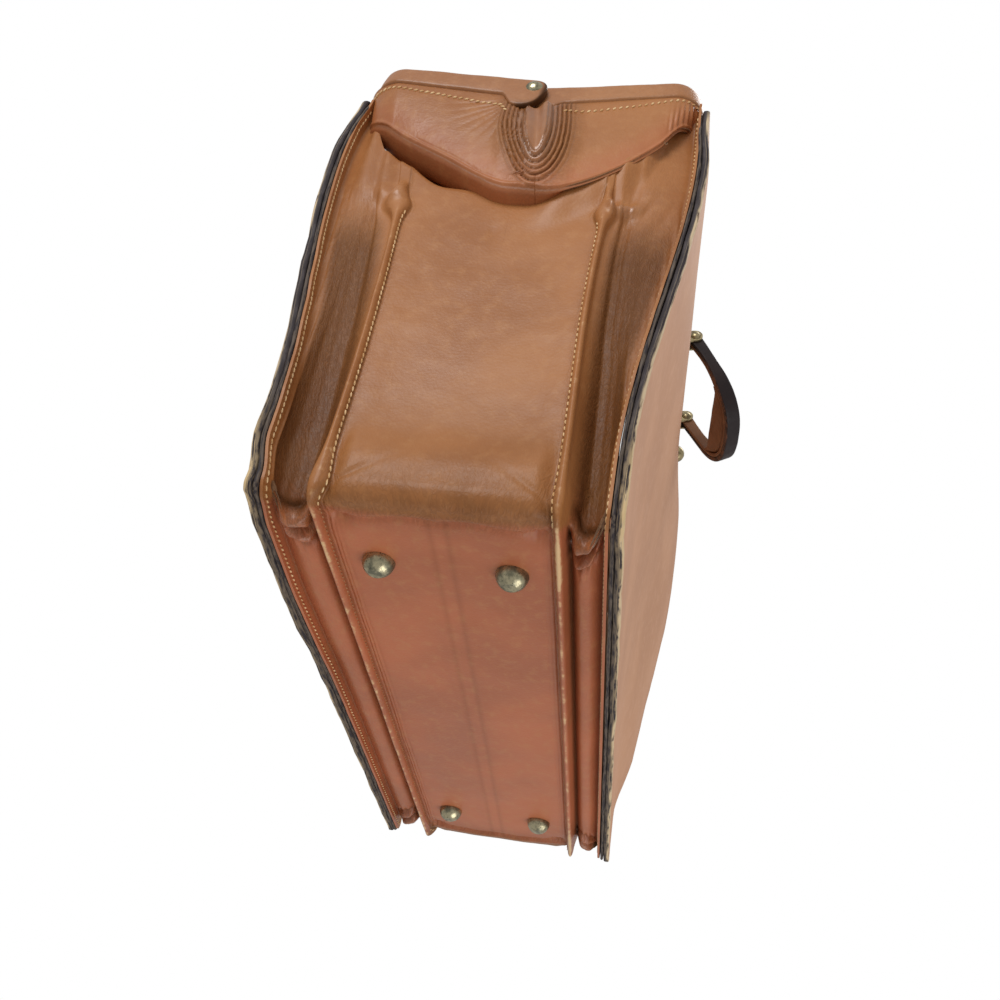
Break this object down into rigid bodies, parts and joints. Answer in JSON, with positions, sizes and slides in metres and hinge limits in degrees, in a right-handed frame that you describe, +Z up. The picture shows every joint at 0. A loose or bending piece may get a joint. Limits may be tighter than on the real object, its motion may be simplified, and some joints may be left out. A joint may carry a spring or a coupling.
{
  "type": "leather briefcase",
  "caption": "Leather frame briefcase standing on domed feet, its hinged steel mouth frame open, with pleated gussets, side handle and slide lock.",
  "frame": {"origin": "on the table at the middle of the four feet", "axes": "+X along the length, -Y to the front with handle and lock, +Z up"},
  "size_m": [0.4248, 0.243, 0.3218],
  "materials": {
    "bottom_leather": "worn, waxed",
    "gusset_leather": "soft, worn",
    "panel_leather": "stiff, burnished",
    "band_leather": "burnished",
    "seam_leather": "burnished edge",
    "lining": "woven",
    "board": "pressed fibre",
    "foot_metal": "tarnished",
    "brass": "worn",
    "frame_steel": "dull",
    "bolt_steel": "dull",
    "strap_leather": "smooth, waxed",
    "pad_leather": "worn"
  },
  "bodies": {
    "base": {"bottom_leather": "bottom_leather", "base_board": "board", "foot_studs": "foot_metal", "foot_washers": "foot_metal", "near_gusset": "gusset_leather", "far_gusset": "gusset_leather"},
    "rear_side": {"rear_panel": "panel_leather", "rear_seam": "seam_leather", "rear_lining": "lining"},
    "front_side": {"front_panel": "panel_leather", "front_seam": "seam_leather", "front_lining": "lining"},
    "rear_frame": {"rear_frame_steel": "frame_steel", "rear_frame_cover": "band_leather", "rear_folds": "gusset_leather", "pivot_rivets": "foot_metal", "catch_lug": "brass", "lug_rivets": "brass"},
    "front_frame": {"front_frame_steel": "frame_steel", "front_frame_cover": "band_leather", "front_folds": "gusset_leather", "pivot_burrs": "foot_metal", "handle_brackets": "brass", "handle_pins": "brass", "bracket_rivets": "brass", "lock_plate": "brass", "lock_boss": "brass", "lock_case": "brass", "lock_rivets": "brass"},
    "handle": {"handle_strap": "strap_leather", "handle_pad": "pad_leather", "handle_eyelets": "brass"},
    "lock_slide": {"lock_thumb": "brass", "lock_bolt": "bolt_steel"}
  },
  "joints": [
    {"name": "rear_side_tilt", "type": "hinge", "parent": "base", "child": "rear_side", "pos_m": [0, 0.074, 0.003], "axis": [1, 0, 0], "range_deg": [0, 15.38], "deforming": ["near_gusset", "far_gusset"]},
    {"name": "front_side_tilt", "type": "hinge", "parent": "base", "child": "front_side", "pos_m": [0, -0.074, 0.003], "axis": [-1, 0, 0], "range_deg": [0, 15.38]},
    {"name": "rear_frame_turn", "type": "hinge", "parent": "rear_side", "child": "rear_frame", "pos_m": [0, 0.096, 0.2965], "axis": [1, 0, 0], "range_deg": [0, 62.13], "deforming": ["rear_folds"]},
    {"name": "front_frame_turn", "type": "hinge", "parent": "front_side", "child": "front_frame", "pos_m": [0, -0.096, 0.2965], "axis": [-1, 0, 0], "range_deg": [0, 62.13], "deforming": ["front_folds"]},
    {"name": "handle_swing", "type": "hinge", "parent": "front_frame", "child": "handle", "pos_m": [0.028, -0.10473, 0.30679], "axis": [-1, 0, 0], "range_deg": [-12, 145]},
    {"name": "lock_slide", "type": "slide", "parent": "front_frame", "child": "lock_slide", "axis": [-1, 0, 0], "range_m": [0, 0.006]}
  ],
  "couplings": [
    {"joint": "front_side_tilt", "follows": "rear_side_tilt", "ratio": 1},
    {"joint": "rear_frame_turn", "follows": "rear_side_tilt", "ratio": 4.0383},
    {"joint": "front_frame_turn", "follows": "rear_side_tilt", "ratio": 4.0383}
  ]
}
